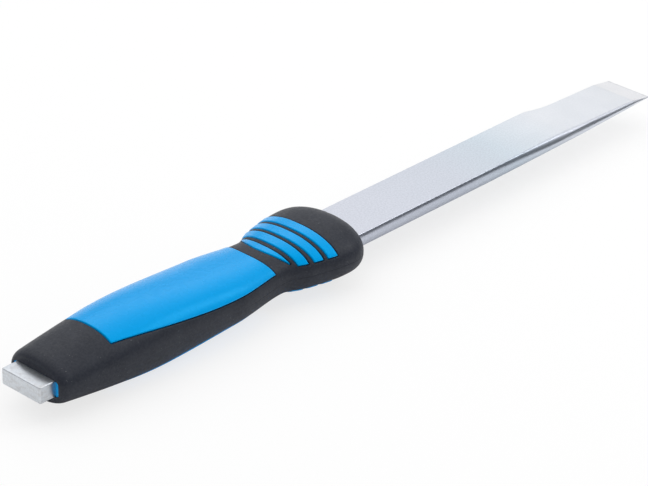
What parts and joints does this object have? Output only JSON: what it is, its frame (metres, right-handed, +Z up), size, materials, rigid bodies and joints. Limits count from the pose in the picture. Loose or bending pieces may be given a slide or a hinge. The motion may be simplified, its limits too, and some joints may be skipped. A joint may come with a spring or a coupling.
{
  "type": "scraping chisel",
  "caption": "Scraping chisel: a flat bevelled steel blade whose tang runs through to a striking end, in a flared handle of hard plastic and soft grip.",
  "frame": {"origin": "centre of the strike face, on the middle line of the steel bar", "axes": "+X from the strike face to the cutting edge, +Y across the blade towards its narrowed edge, +Z up out of the bevelled face"},
  "size_m": [0.284, 0.036, 0.0218],
  "materials": {
    "steel": "blasted satin, smoother and brighter towards the ground front",
    "blue_plastic": "glossy moulded",
    "soft_grip": "matt, fine moulded grain"
  },
  "bodies": {
    "root": {"blade": "steel", "core": "blue_plastic", "grip": "soft_grip"}
  },
  "joints": []
}
